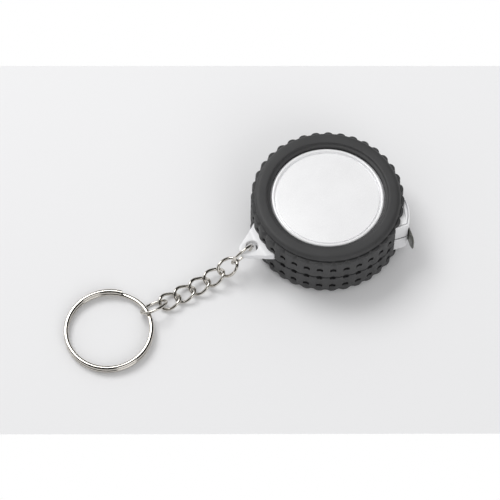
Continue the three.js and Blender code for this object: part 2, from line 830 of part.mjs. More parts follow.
function metal(color, roughness) {
  return new THREE.MeshStandardMaterial({ color, roughness, metalness: 1 });
}

function piece(name, geometry, material) {
  const mesh = new THREE.Mesh(closedMesh(geometry), material);
  mesh.name = name;
  return mesh;
}

const rubberBlack = () => plastic(0x3d3d3e, 0.55);
const shellGrey = () => plastic(0xe4e5e8, 0.35);
const platedSteel = () => metal(0xcfcdc8, 0.2);
const darkSteel = () => metal(0x6a6c68, 0.4);
const tapeYellow = () => plastic(0xe8c62c, 0.35);

const keychain = new THREE.Group();

keychain.add(
  piece('front_tyre_half', geometryOf(tyreHalf(1)), rubberBlack()),
  piece('rear_tyre_half', geometryOf(tyreHalf(-1)), rubberBlack()),
  piece('front_disc', facePlate(1), plastic(0xf1f1f2, 0.25)),
  piece('rear_disc', facePlate(-1), plastic(0xf1f1f2, 0.25)),
  piece('front_case_shell', geometryOf(frontShell()), shellGrey()),
  piece('rear_case_shell', geometryOf(rearShell()), shellGrey()),
  piece('case_screw', geometryOf(caseScrew()), platedSteel()),
  piece('tape_reel', tapeReel(), plastic(0xf0efe9, 0.5)),
  piece('power_spring', powerSpring(), darkSteel()),
  piece('tape_winding', tapeWinding(), tapeYellow()),
  piece('tape_lead', geometryOf(tapeLead()), tapeYellow()),
  piece('end_hook', geometryOf(endHook()), darkSteel()),
  piece('hook_rivet_1', hookRivet(0), platedSteel()),
  piece('hook_rivet_2', hookRivet(1), platedSteel()),
);

const chain = new THREE.Group();
chain.position.z = middle;
chain.rotation.z = THREE.MathUtils.degToRad(earAngle);
keychain.add(chain);

const places = linkPlaces();
places.forEach((place, i) => {
  const isLoop = i === 0 || i === places.length - 1;
  const geometry = isLoop
    ? linkGeometry(loopHalfLength, loopHalfWidth, 0)
    : linkGeometry(curbHalfLength, curbHalfWidth, curbTwist);
  const link = piece(`chain_link_${i + 1}`, geometry, platedSteel());
  link.position.copy(place);
  link.rotation.order = 'YXZ';
  link.rotation.y = THREE.MathUtils.degToRad(linkSlopes[i]);
  link.rotation.x = THREE.MathUtils.degToRad(linkRolls[i]);
  chain.add(link);
});

const ringOut = ringMeanRadius + loopHalfLength - wireRadius - ringLinkGap - ringWireWidth / 2;
const ringFoot = new THREE.Group();
ringFoot.position.set(places[places.length - 1].x + ringOut + ringMeanRadius, 0, floorGap - faceRise);
ringFoot.rotation.y = THREE.MathUtils.degToRad(ringTilt);
const ring = piece('split_ring', ringGeometry(), platedSteel());
ring.position.x = -ringMeanRadius;
ringFoot.add(ring);
chain.add(ringFoot);

export default keychain;
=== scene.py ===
import math

import bpy
from mathutils import Matrix, Vector


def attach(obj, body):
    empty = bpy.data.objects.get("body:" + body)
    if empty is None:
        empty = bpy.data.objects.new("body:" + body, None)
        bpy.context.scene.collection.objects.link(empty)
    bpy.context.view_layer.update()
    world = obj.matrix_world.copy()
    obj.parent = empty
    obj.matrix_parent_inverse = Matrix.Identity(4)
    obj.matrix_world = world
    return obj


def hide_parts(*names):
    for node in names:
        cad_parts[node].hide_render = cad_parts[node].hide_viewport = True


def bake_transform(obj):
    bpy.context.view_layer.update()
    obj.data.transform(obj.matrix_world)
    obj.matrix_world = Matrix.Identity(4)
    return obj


# Pocket tape measure in a tyre-shaped case, on a curb chain with a split ring.
# Lengths in the dictionaries are millimetres, in the CAD frame; mm turns them to Blender's metres.
mm = 0.001
overrun = 1.0               # how far a cutting tool reaches past what it cuts

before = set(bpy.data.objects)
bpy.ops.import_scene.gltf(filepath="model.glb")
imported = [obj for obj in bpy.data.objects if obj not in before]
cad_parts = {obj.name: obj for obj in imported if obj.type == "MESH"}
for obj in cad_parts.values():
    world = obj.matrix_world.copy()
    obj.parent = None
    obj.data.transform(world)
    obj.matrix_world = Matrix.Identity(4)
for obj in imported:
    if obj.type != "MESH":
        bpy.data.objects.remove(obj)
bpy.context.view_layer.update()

case = {
    "middle": 7.7,          # height of the plane between the two shells
    "join": 0.1,            # from that plane to each shell's edge
    "radius": 17.0,
    "plateRise": 6.8,       # outer face of each shell, from the middle plane
    "edge": (0.2, 0.06),    # reach of the outer edge's rounding, and how deep its middle lies
    "cavityRadius": 15.5,
    "cavityRise": 5.3,
    "gap": 0.3,             # round a piece that seats in another
    "steps": 120,
}


def leaveEdit():
    if bpy.context.mode != "OBJECT":
        bpy.ops.object.mode_set(mode="OBJECT")


def onlyThis(piece):
    leaveEdit()
    bpy.ops.object.select_all(action="DESELECT")
    piece.select_set(True)
    bpy.context.view_layer.objects.active = piece


def edit(piece):
    onlyThis(piece)
    bpy.ops.object.mode_set(mode="EDIT")
    bpy.ops.mesh.select_all(action="DESELECT")


def pickVertices(piece, test):
    bpy.ops.object.mode_set(mode="OBJECT")
    mesh = piece.data
    for face in mesh.polygons:
        face.select = False
    for edge in mesh.edges:
        edge.select = False
    for vertex in mesh.vertices:
        vertex.select = bool(test(vertex.co / mm))
    bpy.ops.object.mode_set(mode="EDIT")
    bpy.ops.mesh.select_mode(type="VERT")


def pickFaces(piece, test):
    bpy.ops.object.mode_set(mode="OBJECT")
    mesh = piece.data
    for vertex in mesh.vertices:
        vertex.select = False
    for edge in mesh.edges:
        edge.select = False
    for face in mesh.polygons:
        face.select = bool(test(face.center / mm, face.normal))
    bpy.ops.object.mode_set(mode="EDIT")
    bpy.ops.mesh.select_mode(type="FACE")


def startPoint(name, place):
    leaveEdit()
    bpy.ops.object.select_all(action="DESELECT")
    bpy.ops.mesh.primitive_plane_add(size=mm, location=(0, 0, 0))
    piece = bpy.context.object
    piece.name = name
    piece.data.name = name
    bpy.ops.object.mode_set(mode="EDIT")
    bpy.ops.mesh.select_mode(type="VERT")
    bpy.ops.mesh.select_all(action="SELECT")
    bpy.ops.mesh.merge(type="CENTER")
    bpy.ops.transform.translate(value=Vector(place) * mm)
    return piece


def drawLine(places):
    for before, after in zip(places, places[1:]):
        step = (Vector(after) - Vector(before)) * mm
        bpy.ops.mesh.extrude_vertices_move(TRANSFORM_OT_translate={"value": step})


def drawProfile(name, places, closed=True):
    # a line of single edges through the places, left in edit mode with all of it selected
    piece = startPoint(name, places[0])
    drawLine(list(places) + ([places[0]] if closed else []))
    bpy.ops.mesh.select_all(action="SELECT")
    bpy.ops.mesh.remove_doubles(threshold=mm / 1000)
    return piece


def faceOut():
    bpy.ops.mesh.select_all(action="SELECT")
    bpy.ops.mesh.remove_doubles(threshold=mm / 1000)
    bpy.ops.mesh.normals_make_consistent(inside=False)


def fillAndRaise(height):
    bpy.ops.mesh.edge_face_add()
    bpy.ops.mesh.extrude_region_move(TRANSFORM_OT_translate={"value": (0, 0, height * mm)})


def spunRing(name, outline, steps):
    places = [(radius, 0, case["middle"] + rise) for radius, rise in outline]
    piece = drawProfile(name, places)
    bpy.ops.mesh.spin(steps=steps, angle=2 * math.pi, center=(0, 0, 0), axis=(0, 0, 1))
    faceOut()
    leaveEdit()
    return piece


def prism(name, outline, low, high):
    piece = drawProfile(name, [(x, y, low) for x, y in outline])
    fillAndRaise(high - low)
    faceOut()
    leaveEdit()
    return piece


def applyTransform(piece):
    onlyThis(piece)
    bpy.ops.object.transform_apply(location=True, rotation=True, scale=True)


def applyModifier(piece, kind, **settings):
    onlyThis(piece)
    modifier = piece.modifiers.new(kind.title(), kind)
    for key, value in settings.items():
        setattr(modifier, key, value)
    bpy.ops.object.modifier_apply(modifier=modifier.name)


def boolean(piece, tool, operation="DIFFERENCE"):
    applyModifier(piece, "BOOLEAN", object=tool, operation=operation, solver="EXACT")
    bpy.data.objects.remove(tool)


def roundEdges(piece, width, segments):
    applyModifier(piece, "BEVEL", width=width * mm, segments=segments, limit_method="ANGLE",
                  angle_limit=math.radians(50))


def thicken(strip, thickness):
    applyModifier(strip, "SOLIDIFY", thickness=thickness * mm, offset=0)
    edit(strip)
    faceOut()
    leaveEdit()


def copyOf(piece, name):
    twin = piece.copy()
    twin.data = piece.data.copy()
    twin.name = name
    twin.data.name = name
    bpy.context.collection.objects.link(twin)
    return twin


def smooth(piece, degrees):
    onlyThis(piece)
    bpy.ops.object.shade_smooth_by_angle(angle=math.radians(degrees))


def arc(centreX, centreY, radius, start, end, steps):
    return [
        (
            centreX + radius * math.cos(start + (end - start) * i / steps),
            centreY + radius * math.sin(start + (end - start) * i / steps),
        )
        for i in range(steps + 1)
    ]


def srgb(code):
    parts = [int(code[i:i + 2], 16) / 255 for i in (1, 3, 5)]
    return tuple(p / 12.92 if p <= 0.04045 else ((p + 0.055) / 1.055) ** 2.4 for p in parts) + (1,)


def addNode(tree, kind, settings=None, links=None):
    node = tree.nodes.new(kind)
    for key, value in (settings or {}).items():
        if isinstance(key, int) or key in node.inputs:
            node.inputs[key].default_value = value
        else:
            setattr(node, key, value)
    for key, source in (links or {}).items():
        tree.links.new(source, node.inputs[key])
    return node


def addMath(tree, operation, *values):
    node = addNode(tree, "ShaderNodeMath", {"operation": operation})
    for socket, value in zip(node.inputs, values):
        if isinstance(value, float):
            socket.default_value = value
        else:
            tree.links.new(value, socket)
    return node.outputs[0]


def seenDirectly(tree):
    # 1 for camera and glossy rays, which see the white surroundings, and 0 for the light they give
    path = addNode(tree, "ShaderNodeLightPath")
    return addMath(tree, "MAXIMUM", path.outputs["Is Camera Ray"], path.outputs["Is Glossy Ray"])


def newMaterial(name, surface):
    material = bpy.data.materials.new(name)
    material.use_nodes = True
    tree = material.node_tree
    tree.nodes.clear()
    place = addNode(tree, "ShaderNodeTexCoord").outputs["Object"]
    shader = addNode(tree, "ShaderNodeBsdfPrincipled", surface)
    addNode(tree, "ShaderNodeOutputMaterial", links={"Surface": shader.outputs[0]})
    return material, tree, place, shader


def ramp(tree, source, stops):
    node = addNode(tree, "ShaderNodeValToRGB", links={0: source})
    elements = node.color_ramp.elements
    while len(elements) < len(stops):
        elements.new(0.5)
    for element, (position, colour) in zip(elements, stops):
        element.position = position
        element.color = srgb(colour) if isinstance(colour, str) else (colour, colour, colour, 1)
    return node.outputs[0]


def noise(tree, place, size, detail=4, roughness=0.55):
    node = addNode(tree, "ShaderNodeTexNoise", {
        "Scale": 1 / (size * mm), "Detail": detail, "Roughness": roughness,
    }, {"Vector": place})
    return node.outputs[0]


def bump(tree, shader, height, depth, strength):
    node = addNode(tree, "ShaderNodeBump", {"Strength": strength, "Distance": depth * mm}, {"Height": height})
    tree.links.new(node.outputs[0], shader.inputs["Normal"])


def mouldedRubber():
    # Black TPR, injection moulded against a spark-eroded tool: matt charcoal with a fine grain,
    # in faint lighter and darker clouds, which keeps it from looking painted.
    material, tree, place, shader = newMaterial("blackMouldedTpr", {"IOR": 1.5, "Specular IOR Level": 0.75})
    grain = noise(tree, place, 0.16, 3)
    cloud = noise(tree, place, 7, 3)
    tree.links.new(ramp(tree, cloud, [(0.3, "#2c2c2d"), (0.7, "#323233")]), shader.inputs["Base Color"])
    tree.links.new(ramp(tree, grain, [(0.3, 0.56), (0.7, 0.7)]), shader.inputs["Roughness"])
    bump(tree, shader, grain, 0.02, 0.35)
    return material


def shellPlastic():
    # Pale grey ABS, injection moulded with a semi-gloss finish: soft highlights on an even tone.
    material, tree, place, shader = newMaterial("paleGreyAbs", {"IOR": 1.54})
    cloud = noise(tree, place, 5, 3)
    fine = noise(tree, place, 0.3, 3)
    tree.links.new(ramp(tree, cloud, [(0.3, "#e6e6e8"), (0.7, "#ededee")]), shader.inputs["Base Color"])
    tree.links.new(ramp(tree, fine, [(0.3, 0.28), (0.7, 0.38)]), shader.inputs["Roughness"])
    bump(tree, shader, fine, 0.01, 0.2)
    return material


def facePlateFinish():
    # ABS face plate sprayed with a satin silver-white lacquer: fine flakes, broad soft sheen.
    material, tree, place, shader = newMaterial("satinSilverLacquer", {
        "IOR": 1.5, "Metallic": 0.08, "Coat Weight": 0.6, "Coat Roughness": 0.3,
    })
    flake = noise(tree, place, 0.12, 2)
    cloud = noise(tree, place, 6, 2)
    tree.links.new(ramp(tree, cloud, [(0.3, "#f0f0f1"), (0.7, "#f4f4f5")]), shader.inputs["Base Color"])
    tree.links.new(ramp(tree, flake, [(0.3, 0.2), (0.7, 0.3)]), shader.inputs["Roughness"])
    bump(tree, shader, flake, 0.004, 0.12)
    return material


def nickelPlate():
    # Bright nickel on drawn steel wire: mirror-like, a little warm, with fine drawing marks.
    material, tree, place, shader = newMaterial("brightNickelPlate", {"Metallic": 1.0})
    cloud = noise(tree, place, 2.5, 3)
    fine = noise(tree, place, 0.15, 3)
    tree.links.new(ramp(tree, cloud, [(0.3, "#c6c2bb"), (0.7, "#d6d2cb")]), shader.inputs["Base Color"])
    tree.links.new(ramp(tree, fine, [(0.3, 0.08), (0.75, 0.18)]), shader.inputs["Roughness"])
    bump(tree, shader, fine, 0.004, 0.25)
    return material


def hookSteel():
    # Stamped spring steel, tumbled and lightly blackened: dull grey-green with fine brush marks.
    material, tree, place, shader = newMaterial("tumbledHookSteel", {"Metallic": 1.0})
    streak = addNode(tree, "ShaderNodeMapping", {"Scale": (1, 1, 0.12)}, {"Vector": place}).outputs[0]
    brush = noise(tree, streak, 0.12, 4)
    cloud = noise(tree, place, 1.5, 4)
    tree.links.new(ramp(tree, cloud, [(0.3, "#6f716c"), (0.7, "#8b8c86")]), shader.inputs["Base Color"])
    tree.links.new(ramp(tree, brush, [(0.3, 0.28), (0.7, 0.46)]), shader.inputs["Roughness"])
    bump(tree, shader, brush, 0.01, 0.4)
    return material


def zincSteel():
    # Zinc-plated steel screw and rivets: pale, slightly grainy metal.
    material, tree, place, shader = newMaterial("zincPlatedSteel", {"Metallic": 1.0})
    fine = noise(tree, place, 0.2, 4)
    tree.links.new(ramp(tree, fine, [(0.3, "#b9bcbf"), (0.7, "#d0d2d3")]), shader.inputs["Base Color"])
    tree.links.new(ramp(tree, fine, [(0.3, 0.22), (0.7, 0.38)]), shader.inputs["Roughness"])
    bump(tree, shader, fine, 0.01, 0.3)
    return material


def springSteel():
    # Hardened spring strip: blue-grey temper colour, rolled bright.
    material, tree, place, shader = newMaterial("temperedSpringSteel", {"Metallic": 1.0})
    streak = addNode(tree, "ShaderNodeMapping", {"Scale": (1, 1, 6)}, {"Vector": place}).outputs[0]
    rolled = noise(tree, streak, 1.2, 4)
    tree.links.new(ramp(tree, rolled, [(0.3, "#5d6470"), (0.7, "#7b808a")]), shader.inputs["Base Color"])
    tree.links.new(ramp(tree, rolled, [(0.3, 0.24), (0.7, 0.4)]), shader.inputs["Roughness"])
    bump(tree, shader, rolled, 0.005, 0.3)
    return material


def reelPlastic():
    # Natural acetal reel: milky white, waxy.
    material, tree, place, shader = newMaterial("naturalAcetal", {"IOR": 1.48})
    cloud = noise(tree, place, 4, 3)
    tree.links.new(ramp(tree, cloud, [(0.3, "#e6e4dc"), (0.7, "#efeee8")]), shader.inputs["Base Color"])
    tree.links.new(ramp(tree, cloud, [(0.3, 0.38), (0.7, 0.5)]), shader.inputs["Roughness"])
    bump(tree, shader, cloud, 0.02, 0.2)
    return material


def tapeEnamel():
    # Yellow enamel on steel tape, with printed millimetre marks under a clear coat.
    material, tree, place, shader = newMaterial("yellowTapeEnamel", {
        "IOR": 1.5, "Coat Weight": 0.5, "Coat Roughness": 0.15,
    })
    parts = addNode(tree, "ShaderNodeSeparateXYZ", links={0: place})
    lowerEdge = case["middle"] - 3.0
    ink = None
    # spacing, width and length of the millimetre, half centimetre and centimetre marks
    for spacing, width, length in ((1, 0.14, 1.5), (5, 0.16, 2.2), (10, 0.2, 3.2)):
        phase = addMath(tree, "PINGPONG", parts.outputs["X"], spacing * mm / 2)
        line = addMath(tree, "LESS_THAN", phase, width * mm / 2)
        inside = addMath(tree, "LESS_THAN", parts.outputs["Z"], (lowerEdge + length) * mm)
        marks = addMath(tree, "MULTIPLY", line, inside)
        ink = addMath(tree, "MAXIMUM", ink, marks) if ink else marks
    cloud = noise(tree, place, 3, 3)
    yellow = ramp(tree, cloud, [(0.3, "#e6c229"), (0.7, "#efcf3c")])
    mix = addNode(tree, "ShaderNodeMix", {"data_type": "RGBA"})     # its sockets 6 and 7 are the two colours
    tree.links.new(ink, mix.inputs[0])
    tree.links.new(yellow, mix.inputs[6])
    mix.inputs[7].default_value = srgb("#1d1d1d")
    tree.links.new(mix.outputs[2], shader.inputs["Base Color"])
    tree.links.new(ramp(tree, cloud, [(0.3, 0.3), (0.7, 0.42)]), shader.inputs["Roughness"])
    bump(tree, shader, cloud, 0.01, 0.2)
    return material


rubber = mouldedRubber()
absPlastic = shellPlastic()
lacquer = facePlateFinish()
nickel = nickelPlate()
darkSteel = hookSteel()
zinc = zincSteel()
springStrip = springSteel()
acetal = reelPlastic()
enamel = tapeEnamel()


def dress(piece, material):
    piece.data.materials.clear()
    piece.data.materials.append(material)


def finishPiece(piece, material, body, replaced, degrees):
    dress(piece, material)
    smooth(piece, degrees)
    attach(piece, body)
    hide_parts(replaced)
    print("made", piece.name, len(piece.data.polygons), "faces")


tape = {
    "width": 6.0,
    "thickness": 0.15,
    "offset": 12.4,             # from the case's axis towards -Y
    "ends": (0.3, 18.75),       # along X
    "stretch": (6.0, 18.4),     # between these the tape stretches as it is pulled out
    "steps": (60, 6),           # along and across
}

hook = {
    "back": 19.05,              # the plate's inner face, along X
    "plate": 0.33,
    "leg": 0.33,
    "legLength": 5.2,
    "tapeGap": 0.1,
    "innerBend": 0.3,
    "reach": 18.1,              # the plate's free end, from the case's axis towards -Y
    "width": 6.0,
    "corner": 1.8,
    "edgeRound": 0.09,
    "rivets": [17.35, 15.15],   # along X
    "rivetHole": 0.7,
}

mouth = {
    "side": 14.75,                      # near and far side, from the case's axis towards -Y
    "farSide": 5.0,
    "nose": (8.1, -7.5, 12.85),         # middle and radius of the curved front
    "cornerRadius": 1.3,
    "rootRadius": 16.25,                # where the mouth grows out of the case's wall
    "arcSteps": 14,
    "halfHeight": 6.2,
    "foot": 0.4,                        # upright part of the walls, above the join
    "draft": 0.12,
    "fillet": (0.2, 4),                 # radius, steps
    "groove": (0.14, 0.3, 0.7, 0.02),   # distance from the fillet, width, depth, slant of its walls
    "parting": (0.3, 0.6, 0.06, 1.2),   # half height, depth, lip and channel of the line between the shells
    "slot": (11.35, 13.45, 3.4),        # far and near side, half height
    "hollow": (19.25, 4.9),             # reach along X, half height
    "wall": 1.3,                        # between the slot and the hollow, and at the hollow's far side
    "seatHalf": 3.3,                    # half height of the hook's seat
    "cutReach": 22.0,
}

ear = {
    "angle": 190.65,        # degrees from +X
    "reach": 27.95,
    "tipRadius": 2.28,
    "edgeAngle": 30.0,
    "thickness": 2.0,
    "edgeRound": 0.28,
    "hole": (24.1, 1.7),    # reach, radius
    "rootReach": 14.0,
    "rootDrop": 0.97,       # lower face of the root, below the middle plane
    "rootRelief": 0.12,     # room that the root leaves around the hole
    # the root's slope down to the ear: reach, rise
    "ramp": [(21.1, 1.7), (21.4, 1.62), (21.75, 1.4), (22.15, 1.18), (22.6, 1.03), (23.0, 0.98)],
    "tyreRoom": (1.3, 2.0),     # below and above the middle plane
    "shellRoom": (2.0, 2.0),
}


def mouthOutline(grow=0.0):
    m = mouth
    side = m["side"] + grow
    noseX, noseY, noseRadius = m["nose"]
    nose = noseRadius + grow
    farSide = m["farSide"] - grow
    corner = m["cornerRadius"] + grow
    cornerY = corner - side
    reach = nose - corner
    cornerX = noseX + math.sqrt(reach ** 2 - (cornerY - noseY) ** 2)
    cornerAngle = math.atan2(cornerY - noseY, cornerX - noseX)
    farAngle = math.asin((-farSide - noseY) / nose)
    root = m["rootRadius"]
    return (
        [(math.sqrt(root ** 2 - side ** 2), -side)]
        + arc(cornerX, cornerY, corner, -math.pi / 2, cornerAngle, m["arcSteps"] // 2)
        + arc(noseX, noseY, nose, cornerAngle, farAngle, m["arcSteps"])[1:]
        + [(math.sqrt(root ** 2 - farSide ** 2), -farSide)]
    )


def earOutline(grow=0.0, steps=16):
    e = ear
    radius = e["tipRadius"] + grow
    edge = math.radians(e["edgeAngle"])
    turn = math.pi / 2 - edge
    tipX = e["reach"] - e["tipRadius"]
    edgeX = tipX + radius * math.cos(turn)
    edgeY = radius * math.sin(turn)
    rootY = edgeY + (edgeX - e["rootReach"]) * math.tan(edge)
    return [(e["rootReach"], -rootY)] + arc(tipX, 0, radius, -turn, turn, steps) + [(e["rootReach"], rootY)]


def turnToEar(piece):
    piece.rotation_euler[2] = math.radians(ear["angle"])
    applyTransform(piece)
    return piece


def cutEarRoom(piece, room):
    below, above = room
    tool = prism("earRoom", earOutline(case["gap"]), case["middle"] - below, case["middle"] + above)
    boolean(piece, turnToEar(tool))


def cylinderTool(radius, x, y, low, high, steps=48):
    leaveEdit()
    bpy.ops.object.select_all(action="DESELECT")
    bpy.ops.mesh.primitive_cylinder_add(
        vertices=steps, radius=radius * mm, depth=(high - low) * mm,
        location=(x * mm, y * mm, (low + high) / 2 * mm),
    )
    applyTransform(bpy.context.object)
    return bpy.context.object


def boxTool(low, high):
    leaveEdit()
    bpy.ops.object.select_all(action="DESELECT")
    middle = [(a + b) / 2 * mm for a, b in zip(low, high)]
    size = [(b - a) * mm for a, b in zip(low, high)]
    bpy.ops.mesh.primitive_cube_add(size=1, location=middle, scale=size)
    applyTransform(bpy.context.object)
    return bpy.context.object


tyre = {
    "knobs": 36,
    "firstPit": 5.0,                          # degrees from +X
    "knobRadius": 21.42,
    "boreRadius": 17.3,
    "columns": [0, 1.2, 2.3, 3.6, 5.0],       # degrees from a pit's middle
    "windowColumn": 2,                        # the column that is a sunk place's edge
    "crown": [-0.42, -0.28, -0.15, -0.05, 0.0],
    "valleyShape": [1.0, 0.6, 0.22, 0.04, 0.0],
    "lugShape": [1.0, 1.0, 0.8, 0.2, 0.0],
    # from the groove down: rise, inset from the knobs' radius, depth of the valley, height of the lug
    "frontRows": [
        (7.52, 0.94, 0, 0.01), (7.52, 0.12, 1.0, 0), (7.45, 0, 1.25, 0), (7.3, 0, 1.25, 0), (7.0, 0, 1.1, 0),
        (6.65, 0, 0.7, 0), (6.3, 0, 0.15, 0), (5.6, 0, 0, 0), (4.9, 0, 0, 0), (4.5, 0, 0, 0), (3.85, 0, 0, 0),
        (3.2, 0, 0, 0), (2.6, 0, 0, 0), (1.8, 0, 0, 0), (0.9, 0, 0, 0), (0.34, 0, 0, 0), (0.26, 0.1, 0, 0),
        (0.2, 0.5, 0, 0),
    ],
    "rearRows": [
        (-0.16, 0.5, 0.6, 0), (-0.3, 0, 0.65, 0), (-0.55, 0, 0.55, 0), (-0.9, 0, 0.45, 0), (-1.25, 0, 0.3, 0),
        (-1.8, 0, 0.05, 0), (-2.8, 0, 0, 0), (-3.7, 0, 0, 0), (-4.15, 0, 0, 0), (-4.8, 0, 0, 0), (-5.45, 0, 0, 0),
        (-5.85, 0.1, 0, 0), (-6.25, 0.3, 0, 0.25), (-6.6, 0.48, 0, 0.5), (-7.0, 0.5, 0, 0.54),
        (-7.4, 0.5, 0, 0.54), (-7.55, 0.5, 0, 0.5), (-7.62, 0.68, 0, 0.3),
    ],
    # sunk places: highest and lowest rise, shares of the width from top to bottom, depth
    "frontWindows": [(4.5, 3.2, (0.95, 1.15, 0.85), 1.6)],
    "rearWindows": [(-4.15, -5.45, (0.95, 1.15, 0.85), 1.6), (-0.3, -1.25, (1.15, 0.55), 0.8)],
    "windowMargin": 1.06,
    "windowDrop": 0.1,        # how far a sunk place also goes down, as a share of its depth
    "treadRadius": 20.2,      # faces nearer to the axis than this belong to the sidewall and the bore
    # over the sidewall, from the bore to the groove
    "wall": [
        (17.3, 3.5), (17.3, 7.02), (16.08, 7.1), (16.0, 7.2), (16.0, 8.28), (16.08, 8.38), (16.5, 8.42),
        (16.78, 8.52), (16.93, 8.75), (17.0, 9.02), (17.15, 9.1), (18.4, 9.1), (19.1, 9.1), (19.6, 9.02),
        (20.0, 8.78), (20.25, 8.45), (20.42, 8.12), (20.5, 7.92), (20.42, 7.84), (19.8, 7.8), (19.8, 7.52),
    ],
}


def windowShare(windows, rise, slack=0.01):
    for high, low, shares, _ in windows:
        if low - slack <= rise <= high + slack:
            part = (high - rise) / (high - low) * (len(shares) - 1)
            step = min(int(part), len(shares) - 2)
            return shares[step] + (shares[step + 1] - shares[step]) * (part - step)
    return 1.0


def shapeSector(piece, rows, windows, pickRadius=0.02, leastMove=0.001):
    # one knob's worth of tread is drawn plain, and each of its points is then moved to its place
    t = tyre
    for rise, inset, valley, lug in rows:
        height = case["middle"] + rise
        before = t["knobRadius"] - inset
        share = windowShare(windows, rise)
        for column, degrees in enumerate(t["columns"]):
            if lug:
                after = before + lug * t["lugShape"][column]
            else:
                after = before + min(t["crown"][column], -valley * t["valleyShape"][column])
            turned = degrees * share if column <= t["windowColumn"] else degrees
            for sign in (1, -1) if degrees else (1,):
                old, new = math.radians(degrees * sign), math.radians(turned * sign)
                here = Vector((before * math.cos(old), before * math.sin(old), height))
                there = Vector((after * math.cos(new), after * math.sin(new), height))
                if (there - here).length > leastMove:
                    pickVertices(piece, lambda place: (place - here).length < pickRadius)
                    bpy.ops.transform.translate(value=(there - here) * mm)


def sinkWindow(piece, window):
    # pits and notches: the faces inside the window are pulled inwards, and a little down
    t = tyre
    high, low, _, depth = window
    pitch = 360 / t["knobs"]

    def isInside(place, normal):
        rise = place.z - case["middle"]
        if not low < rise < high or math.hypot(place.x, place.y) < t["treadRadius"]:
            return False
        angle = (math.degrees(math.atan2(place.y, place.x)) - t["firstPit"] + pitch / 2) % pitch - pitch / 2
        halfWidth = t["columns"][t["windowColumn"]] * windowShare([window], rise)
        return abs(angle) < halfWidth * t["windowMargin"]

    edit(piece)
    pickFaces(piece, isInside)
    drop = -t["windowDrop"] * depth * mm
    bpy.ops.mesh.extrude_region_move(TRANSFORM_OT_translate={"value": (0, 0, drop)})
    factor = 1 - depth / t["knobRadius"]
    bpy.ops.transform.resize(value=(factor, factor, 1), center_override=(0, 0, case["middle"] * mm))
    leaveEdit()


def tyreHalf(name, side):
    t = tyre
    rows = t["frontRows"] if side > 0 else t["rearRows"]
    windows = t["frontWindows"] if side > 0 else t["rearWindows"]
    tread = [(t["knobRadius"] - inset, rise) for rise, inset, _, _ in rows]
    start = [(t["boreRadius"], side * case["join"])]
    if side > 0:
        outline = start + t["wall"] + tread
    else:
        outline = start + tread + [(radius, -rise) for radius, rise in reversed(t["wall"])]
    angles = [math.radians(c) for c in [-c for c in reversed(t["columns"])] + t["columns"][1:]]
    along, across = math.cos(angles[0]), math.sin(angles[0])
    piece = drawProfile(name, [
        (radius * along, radius * across, case["middle"] + rise) for radius, rise in outline])
    bpy.ops.mesh.select_all(action="SELECT")
    for before, after in zip(angles, angles[1:]):
        bpy.ops.mesh.spin(steps=1, angle=before - after, center=(0, 0, 0), axis=(0, 0, 1))
    shapeSector(piece, rows, windows)
    leaveEdit()
    piece.rotation_euler[2] = math.radians(t["firstPit"])
    applyTransform(piece)
    bpy.ops.object.mode_set(mode="EDIT")
    bpy.ops.mesh.select_all(action="SELECT")
    bpy.ops.mesh.spin(steps=t["knobs"], angle=2 * math.pi, dupli=True, center=(0, 0, 0), axis=(0, 0, 1))
    faceOut()
    applyModifier(piece, "SUBSURF", levels=1, render_levels=1)
    for window in windows:
        sinkWindow(piece, window)
    low, high = sorted((
        case["middle"] - side * overrun, case["middle"] + side * (mouth["halfHeight"] + case["gap"])))
    boolean(piece, prism("mouthRoom", mouthOutline(case["gap"]), low, high))
    cutEarRoom(piece, ear["tyreRoom"])
    return piece


for end, side in (("front", 1), ("rear", -1)):
    half = tyreHalf(end + "TyreHalf", side)
    finishPiece(half, rubber, "case", end + "_tyre_half", 35)


disc = {
    "radius": 15.7,
    "face": 7.7,        # from the middle plane
    "thickness": 0.8,
    "backEdge": (0.08, 0.1),        # bevel at the back, along the radius and along the axis
    "steps": 144,
    "dome": (0.25, [0, 3, 6, 9, 12]),       # drop from the middle to the bead, radii between them
    "bead": [   # across the rolled rim, from the flat face out
        (14.3, -0.25), (14.36, -0.5), (14.62, -0.55), (14.74, -0.2), (14.86, 0.17), (15.0, 0.27), (15.15, 0.3),
        (15.3, 0.28), (15.46, 0.2), (15.58, 0.08), (15.66, -0.06), (15.7, -0.2),
    ],
}


def facePlate(name, side):
    face = disc["face"]
    back = face - disc["thickness"]
    inward, along = disc["backEdge"]
    drop, radii = disc["dome"]
    outline = [(radius, face - drop * (radius / disc["bead"][0][0]) ** 2) for radius in radii]
    outline += [(radius, face + rise) for radius, rise in disc["bead"]]
    outline += [(disc["radius"], back + along), (disc["radius"] - inward, back), (0, back)]
    return spunRing(name, [(radius, side * rise) for radius, rise in outline], disc["steps"])


for end, side in (("front", 1), ("rear", -1)):
    plate = facePlate(end + "Disc", side)
    finishPiece(plate, lacquer, "case", end + "_disc", 30)


centre = {
    # radius, lowest and highest rise of what stands or is bored in the middle of the shells
    "post": (2.4, -6.05, 2.8),
    "screwHole": (1.1, -9, 9),
    "headSeat": (2.3, -9, -6.0),
    "boss": (2.4, 2.9, 6.05),
    "pilotHole": (0.9, 1.9, 6.3),
    "springSlot": (3.4, 0.425, 3.2),        # reach, half width, half height
}


def centreTool(feature):
    radius, low, high = centre[feature]
    return cylinderTool(radius, 0, 0, case["middle"] + low, case["middle"] + high)


def bandTool(name, outer, inner, low, high):
    # what lies between two outlines of the mouth
    band = prism(name, mouthOutline(outer), low, high)
    boolean(band, prism(name + "Inside", mouthOutline(inner), low - overrun, high + overrun))
    return band


